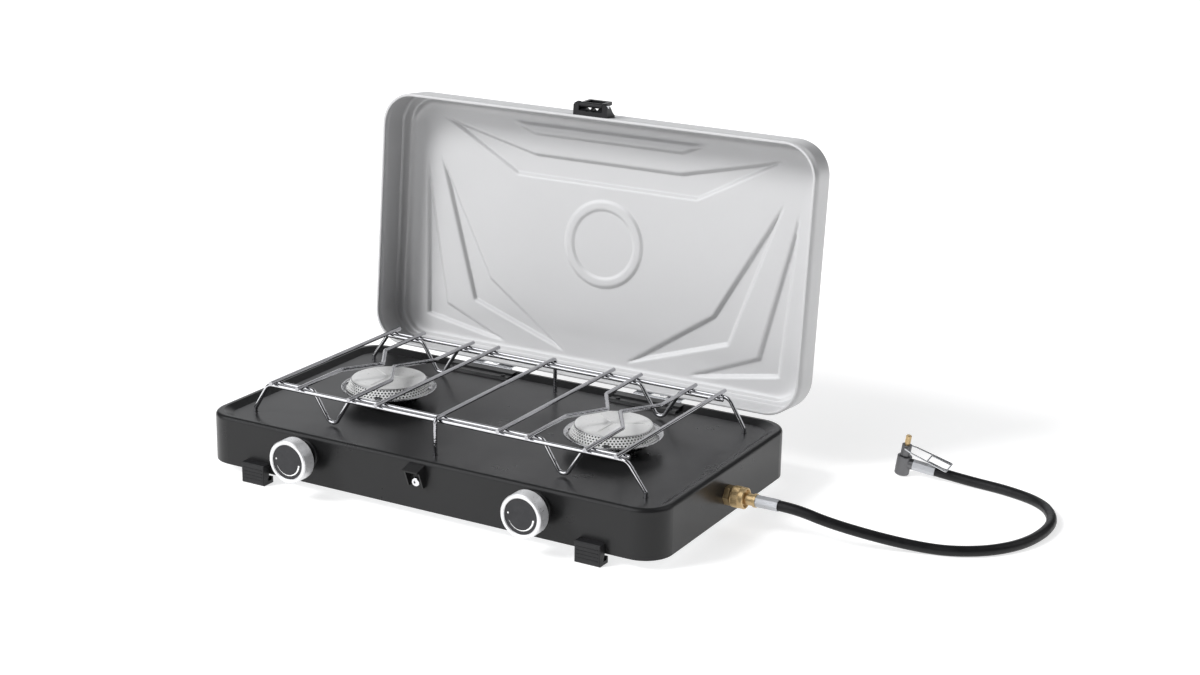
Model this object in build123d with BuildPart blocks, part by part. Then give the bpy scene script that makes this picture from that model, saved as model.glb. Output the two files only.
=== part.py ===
"""Two-burner gas camping stove: pressed casing, hinged lid, wire pan support and gas hose.

Millimetres, +Z up, +X along the front towards the gas inlet, +Y from the front to the rear.
The pieces are drawn about the casing's centre line, and save() moves each one so that the
origin is under the middle of the stove's own box, on the surface that it stands on.
"""
import os
from math import atan, cos, radians, sin, tan

from build123d import *

# ---------------------------------------------------------------- driving dimensions
# casing
casing_length = 500.0
casing_width = 276.7
casing_corner = 28.0
casing_bottom = 10.5
casing_top = 58.7
floor_top = 54.2
sheet = 1.0
edge_radius = 4.0
crest_inset = 6.5
floor_inset = 14.0

# hinge line and lid
hinge_y = 142.0
hinge_z = 55.0
lid_open_angle = 95.0
lid_length = 499.0
lid_front_y = -132.0
lid_rear_y = 138.0
lid_depth = 37.7
lid_corner = 35.0
lid_rim_z = 59.3
lid_back_radius = 4.0
field_rise = 5.5
field_slope = 8.0
field_corner = 26.0
field_side_inset = 12.0
field_front_inset = 8.0
field_rear_inset = 6.0
hem_width = 3.0
hem_depth = 2.6

# burners
burner_x = 128.3
cap_top = 77.6
cap_radius = 36.2
skirt_top_radius = 36.6
skirt_foot_radius = 42.0
skirt_foot_z = 67.0
dish_radius = 47.2
dish_rim_z = 68.3
neck_radius = 13.0

# controls
knob_x = 127.9
knob_z = 39.8
knob_radius = 20.85
knob_front_y = -167.0
knob_back_y = -152.0
stem_radius = 4.0
valve_front_y = -130.0
valve_rear_y = -106.0

# gas line
inlet_y = -3.0
inlet_z = 32.0
manifold_radius = 4.0
manifold_y = -116.0
nut_radius = 10.2
nut_start = 256.3
nut_end = 270.0
tail_radius = 5.5
ferrule_start = 280.5
ferrule_end = 302.5
hose_radius = 5.0

# pan support
wire_radius = 2.0
rod_z = 90.0
rod_end_y = 109.0
rail_z = rod_z - 2 * wire_radius
outer_rail_y = 102.0
inner_rail_y = 93.3
foot_x = 217.0
foot_y = 99.5
outer_rod_x = 190.5
wide_rod_x = 159.0
near_rod_x = 98.5
inner_rod_x = 67.5
socket_depth = 4.0

# front latch
catch_lip_y = -152.0
latch_pivot_y = -143.0
latch_pivot_z = 62.6
latch_reach = 17.4
latch_rest_angle = 174.0

# feet
foot_width = 26.0
foot_centre_x = 185.0
foot_face_y = 147.5

# ---------------------------------------------------------------- derived places
front_y = -casing_width / 2
rear_y = casing_width / 2
side_x = casing_length / 2
floor_bottom = floor_top - sheet
lid_width = lid_rear_y - lid_front_y
lid_middle_y = (lid_rear_y + lid_front_y) / 2
field_length = lid_length - 2 * field_side_inset
field_width = lid_width - field_front_inset - field_rear_inset
field_middle_y = lid_middle_y + (field_front_inset - field_rear_inset) / 2

open_turn = radians(lid_open_angle)
lid_frame = Plane(
    origin=(0, hinge_y, hinge_z),
    x_dir=(1, 0, 0),
    z_dir=(0, sin(open_turn), cos(open_turn)),
)

elbow_centre_point = (339.4, 211.4, 13.8)
hose_rest_point = (404.0, 217.2, 5.1)
hose_end_share = 0.497
hose_route = [
    (ferrule_end, inlet_y, inlet_z),
    (320.0, inlet_y, inlet_z),
    (350.0, 0.0, 24.5),
    (390.0, 19.3, 12.4),
    (428.0, 35.0, 5.1),
    (456.0, 42.0, 5.1),
    (484.0, 62.0, 5.1),
    (503.5, 93.0, 5.1),
    (511.0, 132.0, 5.1),
    (507.0, 166.0, 5.1),
    (486.0, 198.0, 5.1),
    (446.0, 213.0, 5.1),
    hose_rest_point,
    tuple(
        start + hose_end_share * (rest - start)
        for start, rest in zip(elbow_centre_point, hose_rest_point)
    ),
]
elbow_centre = Vector(*elbow_centre_point)
elbow_bottom = -12.8
elbow_shoulder = 7.2
elbow_top = 18.7
elbow_radius = 7.3
elbow_neck_radius = 4.9
nozzle_length = 8.0
bail_pivot = 16.2
bail_reach = 46.0
bail_drop = 9.0
bail_wire = 0.8

lid_back_y = (
    hinge_y
    + (lid_rim_z - hinge_z + lid_depth + field_rise) * sin(open_turn)
    - (hinge_y - lid_front_y - field_front_inset - field_slope) * cos(open_turn)
)
origin_shift = Location((-(nut_end - side_x) / 2, -(knob_front_y + lid_back_y) / 2, 0))

os.makedirs("parts", exist_ok=True)


def save(piece, label):
    """Label a finished piece, put it in the object's frame and write its STEP file."""
    piece.part.label = label
    piece.part.location = origin_shift * piece.part.location
    export_step(piece.part, f"parts/{label}.step")


def lid_plane(closed_z):
    """Plane of the lid at the height that it has when the lid is shut."""
    return lid_frame.offset(closed_z - hinge_z)


def lid_side(x):
    """Side-view plane of the lid at x: local X runs to the rear and local Y up, lid shut."""
    return Plane(
        origin=lid_frame.from_local_coords((x, 0, 0)),
        x_dir=lid_frame.y_dir,
        z_dir=lid_frame.x_dir,
    )


def closed(y, z):
    """Lid side-view coordinates of a point given where it lies with the lid shut."""
    return (y - hinge_y, z - hinge_z)


def side_plane(x):
    """Side-view plane at x: local X runs to the rear and local Y up."""
    return Plane(origin=(x, 0, 0), x_dir=(0, 1, 0), z_dir=(1, 0, 0))


def front_plane(y):
    """Front-view plane at y: local X runs to the right, local Y up, normal to the front."""
    return Plane(origin=(0, y, 0), x_dir=(1, 0, 0), z_dir=(0, -1, 0))


SIDES = ((-1, "left"), (1, "right"))

# ================================================================ casing
tab_inset = 8.5
tab_places = [(x, y * (rear_y - tab_inset)) for x in (-205.0, 0.0, 205.0) for y in (-1, 1)]
vent_count = 7
vent_pitch = 12.0

with BuildPart() as casing_shell:
    with BuildSketch(Plane.XY.offset(casing_bottom)):
        RectangleRounded(casing_length, casing_width, casing_corner)
    extrude(amount=casing_top - casing_bottom)
    fillet(casing_shell.faces().sort_by(Axis.Z)[-1].edges(), edge_radius)
    # sunken hob floor inside the raised rim
    with BuildSketch(Plane.XY.offset(floor_top)):
        RectangleRounded(
            casing_length - 2 * floor_inset,
            casing_width - 2 * floor_inset,
            casing_corner - floor_inset / 2,
        )
    with BuildSketch(Plane.XY.offset(casing_top)):
        RectangleRounded(
            casing_length - 2 * crest_inset,
            casing_width - 2 * crest_inset,
            casing_corner - crest_inset / 2,
        )
    loft(mode=Mode.SUBTRACT)
    # open underside, and the hollow of the rim
    with BuildSketch(Plane.XY.offset(casing_bottom)):
        RectangleRounded(casing_length - 2 * sheet, casing_width - 2 * sheet, casing_corner - sheet)
    extrude(amount=floor_bottom - casing_bottom, mode=Mode.SUBTRACT)
    with BuildSketch(Plane.XY.offset(floor_bottom)):
        RectangleRounded(
            casing_length - 2.6 * sheet,
            casing_width - 2.6 * sheet,
            casing_corner - sheet,
        )
        RectangleRounded(
            casing_length - 2 * crest_inset,
            casing_width - 2 * crest_inset,
            casing_corner - crest_inset / 2,
            mode=Mode.SUBTRACT,
        )
    extrude(amount=2.6, mode=Mode.SUBTRACT)
    # burner necks, pan support sockets
    with BuildSketch(Plane.XY.offset(floor_bottom)):
        with Locations((-burner_x, 0), (burner_x, 0)):
            Circle(neck_radius)
        with GridLocations(2 * foot_x, 2 * foot_y, 2, 2):
            Circle(wire_radius + 0.35)
        with Locations((0, -rod_end_y), (0, rod_end_y)):
            Circle(wire_radius + 0.35)
    extrude(amount=casing_top - floor_bottom, mode=Mode.SUBTRACT)
    # valve noses, catch screw and foot pegs in the front and rear walls
    with BuildSketch(front_plane(front_y + 2 * sheet)):
        with Locations((-knob_x, knob_z), (knob_x, knob_z)):
            Circle(6.5)
        with Locations((0, 38.3)):
            Circle(2.0)
        with Locations((-foot_centre_x, 15.5), (foot_centre_x, 15.5)):
            Circle(2.4)
    extrude(amount=3 * sheet, mode=Mode.SUBTRACT)
    with BuildSketch(front_plane(rear_y + sheet)):
        with Locations((-foot_centre_x, 15.5), (foot_centre_x, 15.5)):
            Circle(2.4)
    extrude(amount=3 * sheet, mode=Mode.SUBTRACT)
    # gas inlet in the right wall
    with BuildSketch(side_plane(side_x - 2 * sheet)):
        with Locations((inlet_y, inlet_z)):
            Circle(6.4)
    extrude(amount=3 * sheet, mode=Mode.SUBTRACT)
    # tabs that the base plate is screwed to, from the wall to 6 mm past each screw
    tab_reach = tab_inset + 6.0
    with BuildSketch(Plane.XY.offset(casing_bottom + sheet)):
        for tab_x, tab_y in tab_places:
            with Locations((tab_x, tab_y / abs(tab_y) * (rear_y - tab_reach / 2 - 0.5 * sheet))):
                Rectangle(14.0, tab_reach)
    extrude(amount=sheet)
    with BuildSketch(Plane.XY.offset(casing_bottom)):
        with Locations(*tab_places):
            Circle(1.6)
    extrude(amount=3 * sheet, mode=Mode.SUBTRACT)
save(casing_shell, "casing_shell")

with BuildPart() as base_plate:
    with BuildSketch(Plane.XY.offset(casing_bottom)):
        RectangleRounded(
            casing_length - 2.1 * sheet,
            casing_width - 2.1 * sheet,
            casing_corner - 1.05 * sheet,
        )
        with Locations(*tab_places):
            Circle(1.6, mode=Mode.SUBTRACT)
        for side, _ in SIDES:
            with Locations((side * burner_x, 0)):
                with GridLocations(vent_pitch, 0, vent_count, 1):
                    SlotOverall(56.0, 4.0, rotation=90, mode=Mode.SUBTRACT)
    extrude(amount=0.95 * sheet)
save(base_plate, "base_plate")

with BuildPart() as base_screws:
    for screw_x, screw_y in tab_places:
        with BuildSketch(Plane.XY.offset(casing_bottom - 1.6)):
            with Locations((screw_x, screw_y)):
                Circle(3.2)
        extrude(amount=1.6)
        with BuildSketch(Plane.XY.offset(casing_bottom)):
            with Locations((screw_x, screw_y)):
                Circle(1.6)
        extrude(amount=6.0)
save(base_screws, "base_screws")

# ================================================================ feet
# clip profile: local X outwards from the middle of the stove, local Y up
wall_out = rear_y + 0.03
foot_profile = [
    (foot_face_y, 1.0),
    (foot_face_y, 19.5),
    (foot_face_y - 1.0, 20.5),
    (wall_out, 20.5),
    (wall_out, casing_bottom - 0.1),
    (foot_face_y - 6.5, 3.4),
    (foot_face_y - 12.5, 3.2),
    (foot_face_y - 13.2, 6.2),
    (foot_face_y - 15.0, 6.2),
    (foot_face_y - 15.0, 0.0),
    (foot_face_y - 1.0, 0.0),
]
for row, facing in (("front", -1), ("rear", 1)):
    for side, side_name in SIDES:
        with BuildPart() as foot:
            with BuildSketch(side_plane(side * foot_centre_x - foot_width / 2)):
                with BuildLine():
                    Polyline([(facing * y, z) for y, z in foot_profile], close=True)
                make_face()
            extrude(amount=foot_width)
            sides = foot.edges().filter_by(Axis.Z).group_by(SortBy.LENGTH)[-1]
            fillet(sides, 0.8)
            with BuildSketch(Plane.XZ.offset(-facing * (wall_out - 4.0))):
                with Locations((side * foot_centre_x, 15.5)):
                    Circle(2.4)
            extrude(amount=-facing * 5.0)
        save(foot, f"{row}_foot_{side_name}")

# ================================================================ front catch
catch_half = 8.5
catch_wall = 1.5
with BuildPart() as latch_catch:
    with BuildSketch(side_plane(-catch_half)):
        with BuildLine():
            Polyline(
                (front_y, 55.4),
                (catch_lip_y, 51.8),
                (catch_lip_y, 50.4),
                (catch_lip_y + 3.4, 49.6),
                (front_y - 3.5, 33.5),
                (front_y, 33.5),
                close=True,
            )
        make_face()
    extrude(amount=2 * catch_half)
    with BuildSketch(side_plane(-catch_half + catch_wall)):
        with BuildLine():
            Polyline(
                (front_y - catch_wall, 53.4),
                (catch_lip_y - 0.5, 50.1),
                (catch_lip_y - 0.5, 32.0),
                (front_y - catch_wall, 32.0),
                close=True,
            )
        make_face()
    extrude(amount=2 * (catch_half - catch_wall), mode=Mode.SUBTRACT)
    with BuildSketch(front_plane(front_y + 1.0)):
        with Locations((0, 38.3)):
            Circle(2.0)
    extrude(amount=4.0, mode=Mode.SUBTRACT)
save(latch_catch, "latch_catch")

with BuildPart() as catch_screw:
    with BuildSketch(front_plane(front_y - catch_wall)):
        with Locations((0, 38.3)):
            Circle(4.4)
    extrude(amount=2.6)
    fillet(catch_screw.faces().sort_by(Axis.Y)[0].edges(), 1.4)
    with BuildSketch(front_plane(front_y - catch_wall)):
        with Locations((0, 38.3)):
            Circle(2.0)
    extrude(amount=-6.5)
    with BuildSketch(front_plane(front_y - catch_wall - 1.4)):
        with Locations((0, 38.3)):
            RegularPolygon(1.9, 6)
    extrude(amount=2.0, mode=Mode.SUBTRACT)
save(catch_screw, "catch_screw")

# ================================================================ burners
for side, side_name in SIDES:
    axis_plane = Plane(origin=(side * burner_x, 0, 0), x_dir=(1, 0, 0), z_dir=(0, -1, 0))
    burner_axis = Axis((side * burner_x, 0, 0), (0, 0, 1))

    with BuildPart() as burner_dish:
        with BuildSketch(axis_plane):
            with BuildLine():
                Polyline(
                    (neck_radius + 0.2, 57.2),
                    (30.0, 57.2),
                    (41.0, 64.8),
                    (dish_radius, dish_rim_z - 0.9),
                    (dish_radius, dish_rim_z),
                    (dish_radius - 1.2, dish_rim_z),
                    (40.4, 65.8),
                    (29.7, 58.2),
                    (neck_radius + 0.2, 58.2),
                    close=True,
                )
            make_face()
        revolve(axis=burner_axis)
    save(burner_dish, f"burner_dish_{side_name}")

    with BuildPart() as burner_head:
        with BuildSketch(axis_plane):
            with BuildLine():
                Polyline(
                    (9.5, 48.2),
                    (neck_radius - 0.1, 48.2),
                    (neck_radius - 0.1, 52.6),
                    (neck_radius + 3.0, 52.6),
                    (neck_radius + 3.0, 53.1),
                    (neck_radius - 0.1, 53.1),
                    (neck_radius - 0.1, 58.3),
                    (28.0, 58.3),
                    (skirt_foot_radius, skirt_foot_z),
                    (skirt_top_radius, cap_top - 1.2),
                    (skirt_top_radius - 1.2, cap_top - 1.2),
                    (skirt_foot_radius - 1.8, skirt_foot_z + 0.4),
                    (27.4, 59.5),
                    (9.5, 59.5),
                    close=True,
                )
            make_face()
        revolve(axis=burner_axis)
    save(burner_head, f"burner_head_{side_name}")

    with BuildPart() as burner_cap:
        with BuildSketch(axis_plane):
            with BuildLine():
                Polyline(
                    (0, cap_top - 1.0),
                    (cap_radius - 1.4, cap_top - 1.2),
                    (skirt_top_radius, cap_top - 1.2),
                    (skirt_top_radius, cap_top - 0.6),
                    (cap_radius - 1.0, cap_top - 0.1),
                    (cap_radius - 3.0, cap_top),
                    (0, cap_top),
                    close=True,
                )
            make_face()
        revolve(axis=burner_axis)
        # three shallow creases that meet in the middle
        with BuildSketch(Plane.XY.offset(cap_top - 0.4)):
            with Locations((side * burner_x, 0)):
                with PolarLocations(15.0, 3, start_angle=30):
                    SlotOverall(30.0, 1.6)
        extrude(amount=1.0, mode=Mode.SUBTRACT)
    save(burner_cap, f"burner_cap_{side_name}")

    tube_mouth_y = valve_rear_y + 4.0
    with BuildPart() as mixing_tube:
        with BuildSketch(front_plane(tube_mouth_y)):
            with Locations((side * knob_x, knob_z)):
                Circle(8.0)
        extrude(amount=tube_mouth_y - 4.0)
        with BuildSketch(front_plane(tube_mouth_y)):
            with Locations((side * knob_x, knob_z)):
                Circle(10.0)
        extrude(amount=-8.0)
        with BuildSketch(Plane.XY.offset(knob_z - 9.0)):
            with Locations((side * burner_x, 0)):
                Circle(9.5)
        extrude(amount=58.0 - knob_z + 9.0)
        with BuildSketch(front_plane(tube_mouth_y - 1.0)):
            with Locations((side * knob_x, knob_z)):
                Circle(6.8)
        extrude(amount=tube_mouth_y - 2.0, mode=Mode.SUBTRACT)
        with BuildSketch(Plane.XY.offset(knob_z - 5.0)):
            with Locations((side * burner_x, 0)):
                Circle(8.2)
        extrude(amount=30.0, mode=Mode.SUBTRACT)
        # primary air slots
        with BuildSketch(Plane.XY.offset(20.0)):
            with Locations((side * knob_x, tube_mouth_y + 14.0)):
                Rectangle(6.0, 9.0)
        extrude(amount=40.0, mode=Mode.SUBTRACT)
    save(mixing_tube, f"mixing_tube_{side_name}")

with BuildPart() as burner_nuts:
    with BuildSketch(Plane.XY.offset(48.6)):
        with Locations((-burner_x, 0), (burner_x, 0)):
            RegularPolygon(18.5, 6)
            Circle(neck_radius - 0.1, mode=Mode.SUBTRACT)
    extrude(amount=4.0)
save(burner_nuts, "burner_nuts")

# ================================================================ valves and controls
for side, side_name in SIDES:
    centre = (side * knob_x, knob_z)
    knob_axis_plane = Plane(origin=(side * knob_x, 0, knob_z), x_dir=(1, 0, 0), z_dir=(0, 0, 1))
    knob_axis = Axis((side * knob_x, 0, knob_z), (0, 1, 0))

    with BuildPart() as valve_body:
        with BuildSketch(front_plane(valve_rear_y)):
            with Locations((side * knob_x, knob_z + 2.9)):
                Rectangle(18.0, 13.2)
        extrude(amount=valve_rear_y - valve_front_y)
        with BuildSketch(front_plane(valve_front_y)):
            with Locations(centre):
                Circle(6.4)
        extrude(amount=valve_front_y - front_y + 4.2)
        with BuildSketch(front_plane(valve_front_y + 12.0)):
            with Locations(centre):
                Circle(stem_radius + 0.06)
        extrude(amount=40.0, mode=Mode.SUBTRACT)
        with BuildSketch(front_plane(valve_rear_y)):
            with Locations(centre):
                Circle(2.0)
        extrude(amount=6.0, mode=Mode.SUBTRACT)
    save(valve_body, f"valve_body_{side_name}")

    with BuildPart() as valve_stem:
        with BuildSketch(front_plane(valve_front_y + 11.0)):
            with Locations(centre):
                Circle(stem_radius)
        extrude(amount=valve_front_y + 11.0 - knob_back_y + 9.0)
    save(valve_stem, f"valve_stem_{side_name}")

    with BuildPart() as knob_ring:
        with BuildSketch(knob_axis_plane):
            with BuildLine():
                Polyline(
                    (16.9, knob_front_y + 0.6),
                    (17.6, knob_front_y),
                    (knob_radius - 0.9, knob_front_y),
                    (knob_radius, knob_front_y + 0.9),
                    (knob_radius, knob_back_y - 0.9),
                    (knob_radius - 0.9, knob_back_y),
                    (16.9, knob_back_y),
                    close=True,
                )
            make_face()
        revolve(axis=knob_axis)
    save(knob_ring, f"knob_ring_{side_name}")

    with BuildPart() as knob_core:
        with BuildSketch(knob_axis_plane):
            with BuildLine():
                Polyline(
                    (0, knob_front_y + 1.0),
                    (16.9, knob_front_y + 1.0),
                    (16.9, knob_back_y),
                    (12.0, knob_back_y),
                    (12.0, front_y - 3.2 - 1.5),
                    (stem_radius, front_y - 3.2 - 1.5),
                    (stem_radius, knob_back_y - 9.0),
                    (0, knob_back_y - 9.0),
                    close=True,
                )
            make_face()
        revolve(axis=knob_axis)
    save(knob_core, f"knob_core_{side_name}")

with BuildPart() as knob_bezels:
    with BuildSketch(front_plane(front_y)):
        with Locations((-knob_x, knob_z), (knob_x, knob_z)):
            Circle(15.0)
            Circle(6.5, mode=Mode.SUBTRACT)
    extrude(amount=3.2)
    bezel_fronts = knob_bezels.faces().sort_by(Axis.Y)[:2]
    chamfer([face.outer_wire().edge() for face in bezel_fronts], 0.8)
save(knob_bezels, "knob_bezels")

with BuildPart() as gas_jets:
    for side, _ in SIDES:
        with BuildSketch(Plane(origin=(side * knob_x, 0, knob_z), x_dir=(1, 0, 0), z_dir=(0, 0, 1))):
            with BuildLine():
                Polyline(
                    (0.3, valve_rear_y - 5.0),
                    (2.0, valve_rear_y - 5.0),
                    (2.0, valve_rear_y),
                    (4.0, valve_rear_y),
                    (4.0, valve_rear_y + 3.4),
                    (2.4, valve_rear_y + 7.0),
                    (0.3, valve_rear_y + 7.0),
                    close=True,
                )
            make_face()
        revolve(axis=Axis((side * knob_x, 0, knob_z), (0, 1, 0)))
save(gas_jets, "gas_jets")

# ================================================================ gas line inside the casing
pipe_points = [
    (236.0, inlet_y, inlet_z),
    (212.0, inlet_y, inlet_z),
    (212.0, manifold_y, inlet_z),
    (-knob_x - 7.0, manifold_y, inlet_z),
]
with BuildPart() as gas_manifold:
    with BuildLine() as pipe_line:
        FilletPolyline(pipe_points, radius=12.0)
    with BuildSketch(Plane(origin=pipe_points[0], z_dir=(-1, 0, 0))):
        Circle(manifold_radius)
    sweep(path=pipe_line.line)
save(gas_manifold, "gas_manifold")

inlet_axis_plane = Plane(origin=(0, inlet_y, inlet_z), x_dir=(1, 0, 0), z_dir=(0, -1, 0))
inlet_axis = Axis((0, inlet_y, inlet_z), (1, 0, 0))
with BuildPart() as inlet_fitting:
    with BuildSketch(side_plane(236.0)):
        with Locations((inlet_y, inlet_z)):
            Circle(6.4)
    extrude(amount=side_x - 236.0)
    with BuildSketch(side_plane(side_x)):
        with Locations((inlet_y, inlet_z)):
            RegularPolygon(9.6, 6)
    extrude(amount=5.4)
    with BuildSketch(side_plane(side_x + 5.4)):
        with Locations((inlet_y, inlet_z)):
            Circle(6.6)
    extrude(amount=8.0)
    with BuildSketch(side_plane(236.0)):
        with Locations((inlet_y, inlet_z)):
            Circle(2.6)
    extrude(amount=40.0, mode=Mode.SUBTRACT)
save(inlet_fitting, "inlet_fitting")

with BuildPart() as inlet_locknut:
    with BuildSketch(side_plane(side_x - sheet - 5.0)):
        with Locations((inlet_y, inlet_z)):
            RegularPolygon(10.5, 6)
            Circle(6.4, mode=Mode.SUBTRACT)
    extrude(amount=5.0)
save(inlet_locknut, "inlet_locknut")

with BuildPart() as union_nut:
    with BuildSketch(inlet_axis_plane):
        with BuildLine():
            Polyline(
                (nut_start, 7.0),
                (nut_start, nut_radius - 1.2),
                (nut_start + 1.2, nut_radius),
                (nut_end - 1.2, nut_radius),
                (nut_end, nut_radius - 0.8),
                (nut_end, 8.6),
                (nut_end - 2.4, 7.4),
                (nut_end - 2.4, tail_radius + 0.07),
                (nut_end - 5.2, tail_radius + 0.07),
                (nut_end - 5.2, 7.0),
                close=True,
            )
        make_face()
    revolve(axis=inlet_axis)
save(union_nut, "union_nut")

# ================================================================ hinges
knuckle_radius = 3.0
pin_radius = 1.6
hinge_start = 73.0
hinge_end = 126.0
lid_knuckles = ((hinge_start, 91.0), (108.5, hinge_end))
body_knuckle = (91.5, 108.0)
bridge_start = 60.0
bridge_end = 135.0
for side, side_name in SIDES:
    with BuildPart() as hinge_bracket:
        # pressed bridge on the hob floor in front of the rear rim
        with BuildSketch(side_plane(min(side * bridge_start, side * bridge_end))):
            with BuildLine():
                Polyline(
                    (112.5, floor_top),
                    (114.5, 57.0),
                    (121.0, 57.0),
                    (123.5, casing_top),
                    (rear_y - crest_inset - 0.15, casing_top),
                    (rear_y - floor_inset - 0.15, floor_top),
                    close=True,
                )
            make_face()
        extrude(amount=bridge_end - bridge_start)
    save(hinge_bracket, f"hinge_bridge_{side_name}")

    with BuildPart() as hinge_leaf:
        leaf_start = min(side * body_knuckle[0], side * body_knuckle[1])
        with BuildSketch(side_plane(leaf_start)):
            with BuildLine():
                Polyline(
                    (rear_y, 36.0),
                    (rear_y + 1.3, 36.0),
                    (rear_y + 1.3, hinge_z - 3.0),
                    (hinge_y, hinge_z - knuckle_radius),
                    (hinge_y - knuckle_radius, hinge_z),
                    (rear_y, hinge_z - 2.0),
                    close=True,
                )
            make_face()
            with Locations((hinge_y, hinge_z)):
                Circle(knuckle_radius)
                Circle(pin_radius, mode=Mode.SUBTRACT)
        extrude(amount=body_knuckle[1] - body_knuckle[0])
    save(hinge_leaf, f"hinge_leaf_{side_name}")

    with BuildPart() as lid_hinge:
        for low, high in lid_knuckles:
            knuckle_start = min(side * low, side * high)
            with BuildSketch(lid_side(knuckle_start)):
                with BuildLine():
                    Polyline(
                        closed(rear_y + 0.45, hinge_z),
                        closed(rear_y + 0.45, 60.6),
                        closed(lid_rear_y, 61.2),
                        closed(lid_rear_y, 77.0),
                        closed(rear_y + 1.3, 77.0),
                        closed(rear_y + 1.3, hinge_z + 2.4),
                        closed(hinge_y, hinge_z + 2.4),
                        closed(hinge_y, hinge_z),
                        close=True,
                    )
                make_face()
                Circle(knuckle_radius)
                Circle(pin_radius + 0.06, mode=Mode.SUBTRACT)
            extrude(amount=high - low)
        # the two knuckles share one leaf above the rim
        with BuildSketch(lid_side(min(side * hinge_start, side * hinge_end))):
            with BuildLine():
                Polyline(
                    closed(lid_rear_y, 65.0),
                    closed(rear_y + 1.3, 65.0),
                    closed(rear_y + 1.3, 77.0),
                    closed(lid_rear_y, 77.0),
                    close=True,
                )
            make_face()
        extrude(amount=hinge_end - hinge_start)
    save(lid_hinge, f"lid_hinge_{side_name}")

with BuildPart() as hinge_pins:
    for side, _ in SIDES:
        with BuildSketch(side_plane(min(side * (hinge_start + 1.0), side * (hinge_end - 1.0)))):
            with Locations((hinge_y, hinge_z)):
                Circle(pin_radius)
        extrude(amount=hinge_end - hinge_start - 2.0)
save(hinge_pins, "hinge_pins")

with BuildPart() as hinge_rivets:
    for side, _ in SIDES:
        with BuildSketch(front_plane(rear_y + 2.7)):
            with Locations((side * 95.5, 42.0), (side * 104.0, 42.0)):
                Circle(2.6)
        extrude(amount=1.4)
        with BuildSketch(Plane.XY.offset(57.0)):
            with Locations((side * 68.0, 117.8), (side * 127.0, 117.8)):
                Circle(2.4)
        extrude(amount=1.2)
save(hinge_rivets, "hinge_rivets")

with BuildPart() as lid_rivets:
    for side, _ in SIDES:
        for rivet_x in (81.0, 99.5, 118.0):
            with BuildSketch(lid_plane(71.0)):
                with Locations((side * rivet_x, rear_y + 1.3 - hinge_y + 0.6)):
                    Rectangle(5.0, 1.2)
            extrude(amount=5.0, both=True)
save(lid_rivets, "lid_rivets")

# ================================================================ lid
with BuildPart() as lid_shell:
    with BuildSketch(lid_plane(lid_rim_z)):
        with Locations((0, lid_middle_y - hinge_y)):
            RectangleRounded(lid_length, lid_width, lid_corner)
    extrude(amount=lid_depth)
    back_face = lid_shell.faces().sort_by(Axis(lid_frame.origin, lid_frame.z_dir))[-1]
    fillet(back_face.edges(), lid_back_radius)
    rim_face = lid_shell.faces().sort_by(Axis(lid_frame.origin, lid_frame.z_dir))[0]
    offset(amount=-sheet, openings=rim_face)
    # field pressed outwards in the middle of the lid
    for gap, mode in ((0.0, Mode.ADD), (sheet, Mode.SUBTRACT)):
        for height, spread in ((-sheet, 0.0), (field_rise, field_slope)):
            drawn_in = spread + gap
            with BuildSketch(lid_plane(lid_rim_z + lid_depth + height - gap)):
                with Locations((0, field_middle_y - hinge_y)):
                    RectangleRounded(
                        field_length - 2 * drawn_in,
                        field_width - 2 * drawn_in,
                        field_corner - drawn_in / 2,
                    )
        loft(mode=mode)
    # rolled hem round the rim
    with BuildSketch(lid_plane(lid_rim_z)):
        with Locations((0, lid_middle_y - hinge_y)):
            RectangleRounded(lid_length, lid_width, lid_corner)
            RectangleRounded(
                lid_length - 2 * hem_width,
                lid_width - 2 * hem_width,
                lid_corner - hem_width,
                mode=Mode.SUBTRACT,
            )
    extrude(amount=hem_depth)
save(lid_shell, "lid_shell")

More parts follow.
